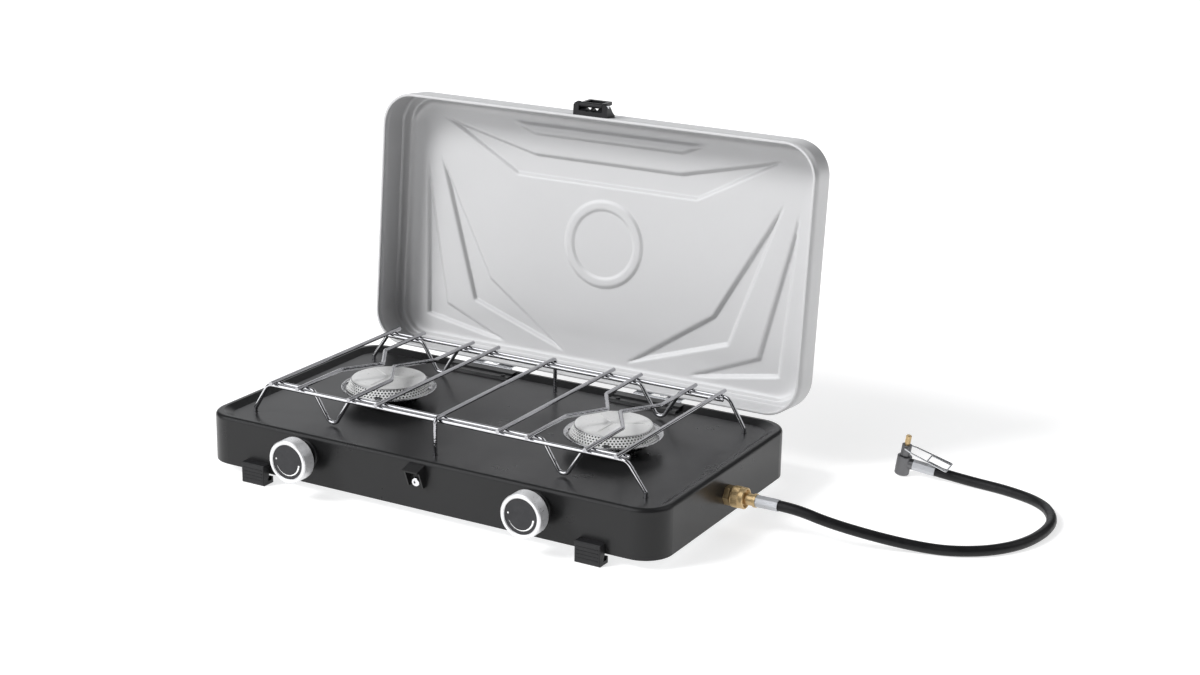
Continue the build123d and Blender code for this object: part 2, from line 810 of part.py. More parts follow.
# latch base, pin and swinging hasp on the lid's front wall
base_half = 19.5
ear_inner = 13.4
hasp_half = 12.9
hasp_arm = 3.4
pin_hole = 1.45
window_middle_x = 4.1
window_width = 5.2
window_floor_y = lid_front_y - 4.2
window_top_y = lid_front_y - 8.0
with BuildPart() as latch_base:
    with BuildSketch(lid_side(-base_half)):
        with BuildLine():
            Polyline(
                closed(lid_front_y, 60.2),
                closed(lid_front_y, 77.0),
                closed(lid_front_y - 2.2, 76.4),
                closed(window_top_y, 67.5),
                closed(window_top_y, 65.8),
                closed(lid_front_y - 4.6, 60.2),
                close=True,
            )
        make_face()
    extrude(amount=2 * base_half)
    # ears that hold the pin
    for ear_start in (-base_half, ear_inner):
        with BuildSketch(lid_side(ear_start)):
            with BuildLine():
                Polyline(
                    closed(lid_front_y - 2.0, 60.2),
                    closed(lid_front_y - 2.0, 75.0),
                    closed(latch_pivot_y + 1.0, 67.4),
                    closed(latch_pivot_y - 2.3, 65.2),
                    closed(latch_pivot_y - 3.0, 63.6),
                    closed(latch_pivot_y - 3.0, 61.2),
                    closed(latch_pivot_y - 2.0, 60.2),
                    close=True,
                )
            make_face()
        extrude(amount=base_half - ear_inner)
    with BuildSketch(lid_side(-base_half)):
        with Locations(closed(latch_pivot_y, latch_pivot_z)):
            Circle(pin_hole)
    extrude(amount=2 * base_half, mode=Mode.SUBTRACT)
    # sloped shoulders of the ears
    with BuildSketch(lid_plane(58.0)):
        for side, _ in SIDES:
            with BuildLine():
                Polyline(
                    (side * base_half, lid_front_y - 14.5 - hinge_y),
                    (side * base_half, lid_front_y - 10.5 - hinge_y),
                    (side * (base_half - 4.5), lid_front_y - 14.5 - hinge_y),
                    close=True,
                )
            make_face()
    extrude(amount=12.0, mode=Mode.SUBTRACT)
    # two windows under the pin
    with BuildSketch(lid_plane(58.0)):
        with Locations(
            (-window_middle_x, (window_floor_y + window_top_y) / 2 - 1.0 - hinge_y),
            (window_middle_x, (window_floor_y + window_top_y) / 2 - 1.0 - hinge_y),
        ):
            RectangleRounded(window_width, window_floor_y - window_top_y + 2.0, 1.8)
    extrude(amount=24.0, mode=Mode.SUBTRACT)
save(latch_base, "latch_base")

with BuildPart() as latch_pin:
    with BuildSketch(lid_side(-base_half)):
        with Locations(closed(latch_pivot_y, latch_pivot_z)):
            Circle(pin_hole)
    extrude(amount=2 * base_half)
save(latch_pin, "latch_pin")

hasp_origin = lid_frame.from_local_coords((0, latch_pivot_y - hinge_y, latch_pivot_z - hinge_z))
hasp_turn = radians(latch_rest_angle)
hasp_down = (
    lid_frame.y_dir * -sin(hasp_turn) + lid_frame.z_dir * -cos(hasp_turn)
)


def hasp_side(x):
    """Side-view plane of the hasp at x: local X away from the lid, local Y to the hasp's tip."""
    return Plane(
        origin=hasp_origin + lid_frame.x_dir * x,
        x_dir=hasp_down.cross(lid_frame.x_dir),
        z_dir=lid_frame.x_dir,
    )


with BuildPart() as latch_hasp:
    for arm_start in (-hasp_half, hasp_half - hasp_arm):
        with BuildSketch(hasp_side(arm_start)):
            with BuildLine():
                Polyline(
                    (-1.9, 0.0),
                    (-1.7, latch_reach + 1.7),
                    (1.7, latch_reach + 1.7),
                    (2.0, 8.0),
                    (2.4, 0.0),
                    close=True,
                )
            make_face()
            Circle(2.6)
            Circle(pin_hole + 0.07, mode=Mode.SUBTRACT)
        extrude(amount=hasp_arm)
    # root sleeve round the pin, and the bar that hooks under the catch
    with BuildSketch(hasp_side(-hasp_half)):
        Circle(2.6)
        Circle(pin_hole + 0.07, mode=Mode.SUBTRACT)
        with Locations((0, latch_reach)):
            Rectangle(3.4, 3.4)
    extrude(amount=2 * hasp_half)
save(latch_hasp, "latch_hasp")

# ================================================================ pan support
wire_run = outer_rod_x + 8.0
dip_x = 128.6
dip_half = 22.0
dip_bend = 7.0
dip_slope = atan((rail_z - floor_top) / dip_half)
dip_point = floor_top + wire_radius + 0.3 - dip_bend * (1 / cos(dip_slope) - 1)


def bent_wires(label, routes, radius):
    """Round wires of one label, each bent along its route with the given corner radii."""
    with BuildPart() as bent:
        for points in routes:
            with BuildLine() as route:
                if len(points) > 2:
                    FilletPolyline(points, radius=radius)
                else:
                    Line(points[0], points[1])
            with BuildSketch(Plane(origin=route.line @ 0, z_dir=route.line % 0)):
                Circle(wire_radius)
            sweep(path=route.line)
    save(bent, label)


for row, facing in (("front", -1), ("rear", 1)):
    outer_y = facing * outer_rail_y
    inner_y = facing * inner_rail_y
    bent_wires(
        f"{row}_leg_rail",
        [
            [
                (-foot_x, facing * foot_y, floor_top - socket_depth),
                (-foot_x, facing * foot_y, floor_top + 4.0),
                (-wire_run, outer_y, rail_z),
                (wire_run, outer_y, rail_z),
                (foot_x, facing * foot_y, floor_top + 4.0),
                (foot_x, facing * foot_y, floor_top - socket_depth),
            ]
        ],
        [3.5, 10.0, 10.0, 3.5],
    )
    bent_wires(
        f"{row}_dip_rail",
        [
            [
                (-wire_run + 2.0, inner_y, rail_z),
                (-dip_x - dip_half, inner_y, rail_z),
                (-dip_x, inner_y, dip_point),
                (-dip_x + dip_half, inner_y, rail_z),
                (dip_x - dip_half, inner_y, rail_z),
                (dip_x, inner_y, dip_point),
                (dip_x + dip_half, inner_y, rail_z),
                (wire_run - 2.0, inner_y, rail_z),
            ]
        ],
        [6.0, dip_bend, 6.0, 6.0, dip_bend, 6.0],
    )

bent_wires(
    "pan_rods_straight",
    [
        [(rod_x, -rod_end_y, rod_z), (rod_x, rod_end_y, rod_z)]
        for rod_x in (-outer_rod_x, -inner_rod_x, inner_rod_x, outer_rod_x)
    ],
    None,
)
for label, straight_x, tip_x in (
    ("pan_rods_wide", wide_rod_x, 135.0),
    ("pan_rods_near", near_rod_x, 121.5),
):
    bent_wires(
        label,
        [
            [
                (side * straight_x, -rod_end_y, rod_z),
                (side * straight_x, -38.0, rod_z),
                (side * tip_x, 0, rod_z),
                (side * straight_x, 38.0, rod_z),
                (side * straight_x, rod_end_y, rod_z),
            ]
            for side, _ in SIDES
        ],
        [6.0, 4.0, 6.0],
    )
bent_wires(
    "pan_rod_centre",
    [
        [
            (0, -rod_end_y, floor_top - socket_depth),
            (0, -rod_end_y, rod_z),
            (0, rod_end_y, rod_z),
            (0, rod_end_y, floor_top - socket_depth),
        ]
    ],
    5.0,
)

# ================================================================ hose and its fittings
with BuildPart() as hose_tail:
    with BuildSketch(inlet_axis_plane):
        with BuildLine():
            Polyline(
                (nut_end - 6.4, 2.0),
                (nut_end - 6.4, 6.2),
                (nut_end - 5.3, 6.2),
                (nut_end - 5.3, tail_radius),
                (277.2, tail_radius),
                (278.0, 6.5),
                (ferrule_start, 6.5),
                (ferrule_start, 2.0),
                close=True,
            )
        make_face()
    revolve(axis=inlet_axis)
save(hose_tail, "hose_tail")

with BuildPart() as inlet_ferrule:
    with BuildSketch(side_plane(ferrule_start)):
        with Locations((inlet_y, inlet_z)):
            RegularPolygon(6.1, 8)
            Circle(2.0, mode=Mode.SUBTRACT)
    extrude(amount=ferrule_end - ferrule_start)
save(inlet_ferrule, "inlet_ferrule")


def bend_radii(points):
    """Largest tangent arc for each corner of a route: 0.45 of the shorter run over tan(turn / 2)."""
    radii = []
    for before, at, after in zip(points, points[1:], points[2:]):
        run_in = Vector(*at) - Vector(*before)
        run_out = Vector(*after) - Vector(*at)
        half_turn = radians(run_in.get_angle(run_out)) / 2
        radii.append(0.45 * min(run_in.length, run_out.length) / tan(half_turn))
    return radii


hose_bends = bend_radii(hose_route)
print("hose bend radii", [round(radius, 1) for radius in hose_bends])
with BuildPart() as gas_hose:
    with BuildLine() as hose_line:
        FilletPolyline(hose_route, radius=hose_bends)
    with BuildSketch(Plane(origin=hose_route[0], z_dir=hose_line.line % 0)):
        Circle(hose_radius)
    sweep(path=hose_line.line)
print("hose length", round(sum(edge.length for edge in hose_line.edges()), 1))
save(gas_hose, "gas_hose")

# frame of the elbow: local X towards the hose, local Z up through the nozzle
hose_end = Vector(*hose_route[-1])
towards_hose = (hose_end - elbow_centre).normalized()
sideways = Vector(0, 0, 1).cross(towards_hose).normalized()
elbow_up = towards_hose.cross(sideways)
elbow_frame = Plane(origin=elbow_centre, x_dir=towards_hose, z_dir=elbow_up)
hose_reach = (hose_end - elbow_centre).length
branch_end = 10.0


def elbow_side(x):
    """Plane across the branch at local x, with local X sideways and local Y up."""
    return Plane(
        origin=elbow_centre + towards_hose * x,
        x_dir=sideways,
        z_dir=towards_hose,
    )


with BuildPart() as connector_ferrule:
    with BuildSketch(elbow_side(branch_end)):
        RegularPolygon(5.9, 8)
    extrude(amount=hose_reach - branch_end)
save(connector_ferrule, "connector_ferrule")

with BuildPart() as connector_elbow:
    with BuildSketch(elbow_frame.offset(elbow_bottom)):
        Circle(elbow_radius)
    extrude(amount=elbow_shoulder - elbow_bottom)
    caps = connector_elbow.faces().sort_by(Axis(elbow_centre, elbow_up))
    fillet(caps[0].edges(), 1.8)
    fillet(connector_elbow.faces().sort_by(Axis(elbow_centre, elbow_up))[-1].edges(), 1.0)
    with BuildSketch(elbow_frame.offset(elbow_shoulder)):
        Circle(elbow_neck_radius)
    extrude(amount=elbow_top - elbow_shoulder)
    with BuildSketch(elbow_side(0)):
        Circle(5.4)
    extrude(amount=branch_end)
    # seat of the nozzle and cross hole of the bail
    with BuildSketch(elbow_frame.offset(elbow_shoulder + 2.0)):
        Circle(2.9)
    extrude(amount=20.0, mode=Mode.SUBTRACT)
    with BuildSketch(Plane(elbow_centre + elbow_up * bail_pivot, z_dir=sideways)):
        Circle(bail_wire + 0.06)
    extrude(amount=10.0, both=True, mode=Mode.SUBTRACT)
save(connector_elbow, "connector_elbow")

with BuildPart() as connector_nozzle:
    with BuildSketch(elbow_frame.offset(elbow_shoulder + 2.0)):
        Circle(2.85)
    extrude(amount=2.5)
    with BuildSketch(elbow_frame.offset(elbow_shoulder + 2.0)):
        Circle(2.4)
    extrude(amount=elbow_top - elbow_shoulder)
    with BuildSketch(elbow_frame.offset(elbow_top + 2.0)):
        Circle(2.85)
    extrude(amount=nozzle_length)
    nozzle_top = connector_nozzle.faces().sort_by(Axis(elbow_centre, elbow_up))[-1]
    chamfer(nozzle_top.edges(), 0.7)
save(connector_nozzle, "connector_nozzle")

bail_x_dir = (towards_hose * bail_reach - elbow_up * bail_drop).normalized()
bail_frame = Plane(
    origin=elbow_centre + elbow_up * bail_pivot,
    x_dir=bail_x_dir,
    z_dir=bail_x_dir.cross(sideways),
)


def bail_point(x, y):
    """A point of the bail's own plane."""
    return bail_frame.from_local_coords((x, y, 0))


bail_outline = [(0, 3.7), (0, 6.6), (8.0, 9.5), (bail_reach, 12.0)]
bail_points = [bail_point(x, -y) for x, y in bail_outline]
bail_points += [bail_point(x, y) for x, y in reversed(bail_outline)]
tongue_points = [
    bail_point(bail_reach - 0.4, -8.5),
    bail_point(bail_reach - 21.0, -8.5),
    bail_point(bail_reach - 21.0, 8.5),
    bail_point(bail_reach - 0.4, 8.5),
]
with BuildPart() as connector_bail:
    with BuildLine() as bail_line:
        FilletPolyline(bail_points, radius=1.4)
    with BuildSketch(Plane(origin=bail_points[0], z_dir=bail_line.line % 0)):
        Circle(bail_wire)
    sweep(path=bail_line.line)
    with BuildLine() as tongue_line:
        FilletPolyline(tongue_points, radius=2.0)
    with BuildSketch(Plane(origin=tongue_points[0], z_dir=tongue_line.line % 0)):
        Circle(bail_wire)
    sweep(path=tongue_line.line)
save(connector_bail, "connector_bail")
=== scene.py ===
"""Camping stove: materials, fine shapes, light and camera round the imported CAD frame.

Metres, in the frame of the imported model. Sizes written in millimetres are turned into
metres by at(), which counts from the middle of the casing, on the surface it stands on.
"""
from math import cos, pi, radians, sin, tau

import bpy
import numpy as np
from mathutils import Matrix, Vector


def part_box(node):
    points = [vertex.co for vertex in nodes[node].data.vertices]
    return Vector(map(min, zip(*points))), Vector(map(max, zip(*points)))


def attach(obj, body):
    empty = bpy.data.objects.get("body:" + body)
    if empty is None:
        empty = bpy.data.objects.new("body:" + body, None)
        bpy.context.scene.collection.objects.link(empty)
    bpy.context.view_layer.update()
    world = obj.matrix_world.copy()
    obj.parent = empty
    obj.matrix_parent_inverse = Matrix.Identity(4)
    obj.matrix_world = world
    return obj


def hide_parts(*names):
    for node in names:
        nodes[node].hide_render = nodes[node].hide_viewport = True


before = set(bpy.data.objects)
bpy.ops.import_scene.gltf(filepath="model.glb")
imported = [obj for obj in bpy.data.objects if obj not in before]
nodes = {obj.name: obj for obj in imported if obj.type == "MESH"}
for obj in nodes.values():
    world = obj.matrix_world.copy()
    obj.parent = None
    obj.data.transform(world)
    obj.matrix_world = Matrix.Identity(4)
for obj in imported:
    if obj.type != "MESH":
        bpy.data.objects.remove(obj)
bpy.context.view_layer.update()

MM = 0.001
BURNER_X = 128.3
KNOB_X, KNOB_Z = 127.9, 39.8
INLET_Y, INLET_Z = -3.0, 32.0
FOOT_X = 185.0
HOSE_RADIUS = 5.0
LID_SHEET = 0.9
SKIRT_SHEET = 0.5
INK = 0.06
SIDES = ((-1, "left"), (1, "right"))

casing_low, casing_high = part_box("casing_shell")
casing_middle = (casing_low + casing_high) / 2


def at(x, y, z=0.0):
    """Millimetres from the casing's middle, and above the floor, to metres in the frame."""
    return Vector((casing_middle.x + x * MM, casing_middle.y + y * MM, z * MM))


# ------------------------------------------------------------------ camera
CAMERA_PLACE = (1023.44, -1633.73, 735.15)
CAMERA_ANGLES = (29.16, 17.12, 1.06)
CAMERA_LENS = 63.01


def add_camera():
    """Camera at the photograph's place, turned by its yaw, pitch and roll in degrees."""
    yaw, pitch, roll = (radians(angle) for angle in CAMERA_ANGLES)
    forward = Vector((-sin(yaw) * cos(pitch), cos(yaw) * cos(pitch), -sin(pitch)))
    level = Vector((cos(yaw), sin(yaw), 0.0))
    upright = level.cross(forward)
    right = level * cos(roll) + upright * sin(roll)
    up = upright * cos(roll) - level * sin(roll)
    turn = Matrix((right, up, -forward)).transposed().to_4x4()
    data = bpy.data.cameras.new("studio_camera")
    data.sensor_width = 36.0
    data.lens = CAMERA_LENS
    data.clip_start, data.clip_end = 0.05, 120.0
    camera = bpy.data.objects.new("studio_camera", data)
    bpy.context.scene.collection.objects.link(camera)
    camera.matrix_world = Matrix.Translation(at(*CAMERA_PLACE)) @ turn
    bpy.context.scene.camera = camera


add_camera()


# ------------------------------------------------------------------ materials
class Surface:
    """A Principled material whose colour, roughness and bump come from procedural nodes.

    Noise scales are in cells per metre, before any stretch, and bump distances in metres.
    """

    def __init__(self, name, colour, roughness, metallic=0.0, **sockets):
        self.material = bpy.data.materials.new(name)
        self.material.use_nodes = True
        self.tree = self.material.node_tree
        self.shader = self.tree.nodes["Principled BSDF"]
        self.colour = tuple(colour) + (1.0,)
        self.shader.inputs["Base Color"].default_value = self.colour
        self.shader.inputs["Roughness"].default_value = roughness
        self.shader.inputs["Metallic"].default_value = metallic
        for socket, value in sockets.items():
            self.shader.inputs[socket.replace("_", " ")].default_value = value
        self.place = self.node("ShaderNodeTexCoord").outputs["Object"]

    def node(self, kind, **settings):
        made = self.tree.nodes.new(kind)
        for key, value in settings.items():
            setattr(made, key, value)
        return made

    def link(self, source, target):
        self.tree.links.new(source, target)

    def spread(self, stretch):
        """Object coordinates scaled differently along each axis, for grain that runs one way."""
        mapping = self.node("ShaderNodeMapping")
        mapping.inputs["Scale"].default_value = stretch
        self.link(self.place, mapping.inputs["Vector"])
        return mapping.outputs["Vector"]

    def noise(self, scale, detail, roughness=0.55, stretch=None):
        made = self.node("ShaderNodeTexNoise")
        made.inputs["Scale"].default_value = scale
        made.inputs["Detail"].default_value = detail
        made.inputs["Roughness"].default_value = roughness
        self.link(self.spread(stretch) if stretch else self.place, made.inputs["Vector"])
        return made.outputs["Fac"]

    def ranged(self, value, low, high, to_low=0.0, to_high=1.0):
        """Stretches value from one range onto another."""
        made = self.node("ShaderNodeMapRange")
        made.inputs["From Min"].default_value = low
        made.inputs["From Max"].default_value = high
        made.inputs["To Min"].default_value = to_low
        made.inputs["To Max"].default_value = to_high
        self.link(value, made.inputs["Value"])
        return made.outputs["Result"]

    def tint(self, value, other):
        """Mixes the colour so far with another by value."""
        mix = self.node("ShaderNodeMix", data_type="RGBA")
        mix.inputs[7].default_value = tuple(other) + (1.0,)
        incoming = self.shader.inputs["Base Color"]
        if incoming.links:
            self.link(incoming.links[0].from_socket, mix.inputs[6])
        else:
            mix.inputs[6].default_value = self.colour
        self.link(value, mix.inputs[0])
        self.link(mix.outputs[2], incoming)
        return self

    def rough(self, value, low, high):
        """Lets value move the roughness between low and high."""
        self.link(self.ranged(value, 0.3, 0.7, low, high), self.shader.inputs["Roughness"])
        return self

    def bump(self, value, distance, strength):
        """Adds fine relief on top of any relief that is already there."""
        made = self.node("ShaderNodeBump")
        made.inputs["Distance"].default_value = distance
        made.inputs["Strength"].default_value = strength
        self.link(value, made.inputs["Height"])
        normal = self.shader.inputs["Normal"]
        if normal.links:
            self.link(normal.links[0].from_socket, made.inputs["Normal"])
        self.link(made.outputs["Normal"], normal)
        return self


def enamel():
    made = Surface("black_enamel", (0.011, 0.011, 0.0115), 0.28, Specular_IOR_Level=0.32)
    made.tint(made.ranged(made.noise(9.0, 4.0), 0.35, 0.75), (0.014, 0.014, 0.0145))
    made.rough(made.noise(24.0, 4.0, 0.6), 0.27, 0.31)
    made.bump(made.noise(420.0, 2.0), 0.00001, 0.3)
    return made.material


def silver_paint():
    made = Surface("silver_paint", (0.53, 0.53, 0.535), 0.40, 0.25)
    made.tint(made.ranged(made.noise(5.0, 3.0), 0.3, 0.8), (0.56, 0.56, 0.565))
    made.tint(made.ranged(made.noise(5200.0, 1.0), 0.58, 0.72, 0.0, 0.4), (0.64, 0.64, 0.65))
    made.rough(made.noise(140.0, 4.0, 0.6), 0.35, 0.42)
    made.bump(made.noise(1800.0, 2.0), 0.00001, 0.6)
    made.bump(made.noise(26.0, 2.0), 0.0004, 0.10)
    return made.material


def plated(name, colour, roughness):
    made = Surface(name, colour, roughness, 1.0)
    made.tint(made.ranged(made.noise(35.0, 4.0), 0.45, 0.8, 0.0, 0.6), tuple(c * 0.95 for c in colour))
    made.rough(made.noise(220.0, 5.0, 0.7), roughness * 0.8, roughness * 1.3)
    made.bump(made.noise(900.0, 3.0), 0.00001, 0.25)
    return made.material


def brushed(name, colour, roughness, stretch, metallic=1.0):
    made = Surface(name, colour, roughness, metallic)
    made.tint(made.ranged(made.noise(40.0, 5.0, 0.6), 0.4, 0.75), tuple(c * 0.95 for c in colour))
    made.rough(made.noise(900.0, 3.0, 0.6, stretch), roughness * 0.8, roughness * 1.25)
    made.bump(made.noise(1500.0, 2.0, 0.5, stretch), 0.00001, 0.5)
    return made.material


def drawn_wire_painted_shade():
    """Plated wire with the lines that drawing leaves along it, in a colour darker than the rails'
    chrome that paints shade onto the rods.
    """
    made = Surface("drawn_wire_painted_shade", (0.52, 0.52, 0.54), 0.10, 1.0)
    made.tint(made.ranged(made.noise(60.0, 4.0), 0.45, 0.8), (0.44, 0.44, 0.46))
    made.rough(made.noise(220.0, 5.0, 0.7), 0.08, 0.13)
    made.bump(made.noise(650.0, 1.0, 0.5, (1.0, 0.015, 1.0)), 0.0004, 0.7)
    return made.material


def machined_brass():
    made = Surface("machined_brass", (0.64, 0.47, 0.25), 0.34, 0.8)
    made.tint(made.ranged(made.noise(160.0, 5.0, 0.65), 0.42, 0.72), (0.57, 0.415, 0.215))
    made.rough(made.noise(300.0, 4.0, 0.6), 0.28, 0.46)
    made.bump(made.noise(2400.0, 2.0, 0.5, (1.0, 0.12, 0.12)), 0.00002, 0.5)
    return made.material


def moulded(name, colour, roughness):
    made = Surface(name, colour, roughness, Specular_IOR_Level=0.35)
    made.tint(made.ranged(made.noise(70.0, 4.0), 0.4, 0.8), tuple(c * 1.3 + 0.002 for c in colour))
    made.rough(made.noise(400.0, 3.0), roughness * 0.85, roughness * 1.15)
    made.bump(made.noise(2200.0, 2.0), 0.00003, 0.6)
    return made.material


def hose_rubber():
    made = Surface("hose_rubber", (0.006, 0.006, 0.0065), 0.40, Specular_IOR_Level=0.30)
    made.tint(made.ranged(made.noise(90.0, 5.0, 0.65), 0.45, 0.8), (0.011, 0.011, 0.012))
    made.rough(made.noise(260.0, 5.0, 0.65), 0.32, 0.50)
    made.bump(made.noise(1500.0, 3.0), 0.00004, 0.5)
    made.bump(made.noise(120.0, 2.0), 0.0002, 0.2)
    return made.material


def printed_white():
    made = Surface("printed_white", (0.82, 0.82, 0.82), 0.5)
    made.tint(made.ranged(made.noise(900.0, 3.0), 0.5, 0.8), (0.70, 0.70, 0.70))
    made.rough(made.noise(700.0, 3.0), 0.45, 0.6)
    return made.material


# Near-black backing for the hollow inside each burner: painted shade, so the holes in the skirt read
# dark.
def burner_painted_shade():
    made = Surface("burner_painted_shade", (0.012, 0.011, 0.010), 0.7)
    made.tint(made.ranged(made.noise(120.0, 4.0), 0.4, 0.8), (0.022, 0.020, 0.018))
    made.rough(made.noise(300.0, 3.0), 0.6, 0.8)
    return made.material


ENAMEL = enamel()
LID_PAINT = silver_paint()
CHROME = plated("chrome_wire", (0.72, 0.72, 0.74), 0.09)
# pan rods: the same chrome wire as the rails, in a darker copy that is painted shade
SHADED_WIRE = drawn_wire_painted_shade()
BRIGHT = plated("bright_screw", (0.80, 0.80, 0.82), 0.16)
DISH = plated("pressed_dish", (0.70, 0.70, 0.71), 0.24)
STEEL = brushed("satin_steel", (0.74, 0.74, 0.73), 0.30, (1.0, 0.25, 1.0))
CAP = brushed("sanded_cap", (0.84, 0.84, 0.83), 0.34, (1.0, 0.25, 1.0), 0.6)
MESH = brushed("perforated_steel", (0.86, 0.86, 0.85), 0.32, (0.4, 0.4, 1.0), 0.45)
ZINC = brushed("zinc_steel", (0.66, 0.67, 0.69), 0.28, (0.2, 1.0, 1.0))
SHEET = brushed("galvanised_sheet", (0.52, 0.53, 0.54), 0.42, (0.3, 1.0, 1.0))
FERRULE = brushed("ferrule_steel", (0.50, 0.51, 0.53), 0.34, (0.15, 1.0, 1.0), 0.6)
TUBE = brushed("drawn_tube", (0.66, 0.67, 0.68), 0.36, (1.0, 0.2, 1.0))
CAST = brushed("die_cast_zinc", (0.17, 0.17, 0.175), 0.40, (1.0, 1.0, 0.6))
BAIL = plated("bail_wire", (0.72, 0.73, 0.75), 0.24)
BRASS = machined_brass()
FOOT = moulded("moulded_black", (0.012, 0.012, 0.013), 0.46)
LATCH = moulded("latch_black", (0.008, 0.008, 0.009), 0.34)
KNOB_FACE = moulded("knob_face", (0.022, 0.022, 0.024), 0.50)
KNOB_RING = brushed("knob_ring", (0.80, 0.80, 0.81), 0.32, (1.0, 0.2, 1.0), 0.6)
RUBBER = hose_rubber()
PRINT = printed_white()
BURNER_SHADE = burner_painted_shade()

FINISHES = {
    ENAMEL: "casing_shell latch_catch hinge_bridge_left hinge_bridge_right",
    LID_PAINT: "lid_shell",
    SHEET: "base_plate",
    FOOT: "front_foot_left front_foot_right rear_foot_left rear_foot_right knob_bezels"
    " hinge_rivets",
    CHROME: "front_leg_rail rear_leg_rail front_dip_rail rear_dip_rail",
    SHADED_WIRE: "pan_rods_straight pan_rods_wide pan_rods_near pan_rod_centre",
    BRIGHT: "base_screws catch_screw lid_rivets",
    DISH: "burner_dish_left burner_dish_right",
    STEEL: "burner_head_left burner_head_right",
    CAP: "burner_cap_left burner_cap_right",
    ZINC: "burner_nuts hinge_pins hinge_leaf_left hinge_leaf_right lid_hinge_left"
    " lid_hinge_right latch_pin",
    TUBE: "mixing_tube_left mixing_tube_right gas_manifold",
    BRASS: "valve_body_left valve_body_right gas_jets inlet_fitting inlet_locknut hose_tail"
    " connector_nozzle valve_stem_left valve_stem_right union_nut",
    KNOB_RING: "knob_ring_left knob_ring_right",
    KNOB_FACE: "knob_core_left knob_core_right",
    LATCH: "latch_base latch_hasp",
    FERRULE: "inlet_ferrule connector_ferrule",
    CAST: "connector_elbow",
    BAIL: "connector_bail",
    RUBBER: "gas_hose",
}
for finish, members in FINISHES.items():
    for name in members.split():
        for each in nodes[name].material_slots:
            each.material = finish


# ------------------------------------------------------------------ mesh helpers
def add_mesh(name, points, faces, finish, body, smooth=True):
    """A mesh object from points in metres, riding on a body."""
    data = bpy.data.meshes.new(name)
    data.from_pydata([tuple(p) for p in points], [], faces)
    data.validate()
    data.materials.append(finish)
    data.polygons.foreach_set("use_smooth", [smooth] * len(data.polygons))
    made = bpy.data.objects.new(name, data)
    bpy.context.scene.collection.objects.link(made)
    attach(made, body)
    return made


def thicken(made, name, thickness, offset):
    """Gives a surface a thickness in millimetres; offset -1 keeps its outer side in place."""
    sheet = made.modifiers.new(name, "SOLIDIFY")
    sheet.thickness = thickness * MM
    sheet.offset = offset


def swept_faces(count, rows, closed=True, first=0):
    """Faces between neighbouring copies of a profile, with the last copy joined to the first."""
    faces = []
    for step in range(count):
        here = first + step * rows
        there = first + (step + 1) % count * rows
        for row in range(rows if closed else rows - 1):
            after = (row + 1) % rows
            faces.append((here + row, there + row, there + after, here + after))
    return faces


def bar_faces(first, count):
    """Faces of a bar between two copies of a closed profile, with both of its ends."""
    faces = []
    for index in range(count):
        here, there = first + index, first + (index + 1) % count
        faces.append((here, there, there + count, here + count))
    faces.append(tuple(range(first + count - 1, first - 1, -1)))
    faces.append(tuple(range(first + count, first + 2 * count)))
    return faces


def lathe(profile, around, count, closed=False):
    """Points and faces of a profile of (radius, height) turned round an axis, in millimetres."""
    points = []
    for step in range(count):
        angle = tau * step / count
        for radius, height in profile:
            points.append(around(radius * cos(angle), radius * sin(angle), height))
    return points, swept_faces(count, len(profile), closed)


# ------------------------------------------------------------------ hose
# middle line of the hose, from the inlet's ferrule to the connector's
HOSE_ROUTE = [
    (302.5, INLET_Y, INLET_Z),
    (320.0, INLET_Y, INLET_Z),
    (350.0, 0.0, 24.5),
    (390.0, 19.3, 12.4),
    (428.0, 35.0, 5.1),
    (456.0, 42.0, 5.1),
    (484.0, 62.0, 5.1),
    (503.5, 93.0, 5.1),
    (511.0, 132.0, 5.1),
    (507.0, 166.0, 5.1),
    (486.0, 198.0, 5.1),
    (446.0, 213.0, 5.1),
    (404.0, 217.2, 5.1),
    (371.506, 214.283, 9.476),
]


def add_hose():
    data = bpy.data.curves.new("hose", "CURVE")
    data.dimensions = "3D"
    data.resolution_u = 24
    data.bevel_depth = HOSE_RADIUS * MM
    data.bevel_resolution = 8
    data.use_fill_caps = True
    spline = data.splines.new("NURBS")
    spline.points.add(len(HOSE_ROUTE) - 1)
    for point, place in zip(spline.points, HOSE_ROUTE):
        point.co = (*at(*place), 1.0)
    spline.order_u = 3
    spline.use_endpoint_u = True
    data.materials.append(RUBBER)
    made = bpy.data.objects.new("rubber_hose", data)
    bpy.context.scene.collection.objects.link(made)
    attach(made, "base")
    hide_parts("gas_hose")
    at(*HOSE_ROUTE[0])


add_hose()


# ------------------------------------------------------------------ lid
LID_TURN = radians(95.0)
LID_BACK = Vector((0.0, cos(LID_TURN), -sin(LID_TURN)))
LID_UP = Vector((0.0, sin(LID_TURN), cos(LID_TURN)))
HINGE = (142.0, 55.0)


def on_lid(x, y, z):
    """A point of the open lid from where it lies with the lid shut, in millimetres."""
    back = (y - HINGE[0]) * MM
    up = (z - HINGE[1]) * MM
    return at(0, HINGE[0], HINGE[1]) + Vector((x * MM, 0, 0)) + LID_BACK * back + LID_UP * up


LID_HALF = (249.5, 135.0)
LID_MIDDLE_Y = 3.0
LID_CORNER = 35.0
FIELD_HALF = (221.5, 119.25)
FIELD_MIDDLE_Y = 5.75
FIELD_CORNER = 20.0
FIELD_SIDE_INSET = 28.0
PANEL_Z = 102.5
PANEL_PITCH = 1.5
SHOULDER_RADIUS, SHOULDER_Z = 4.0, 92.8
SHOULDER_STEPS = 6
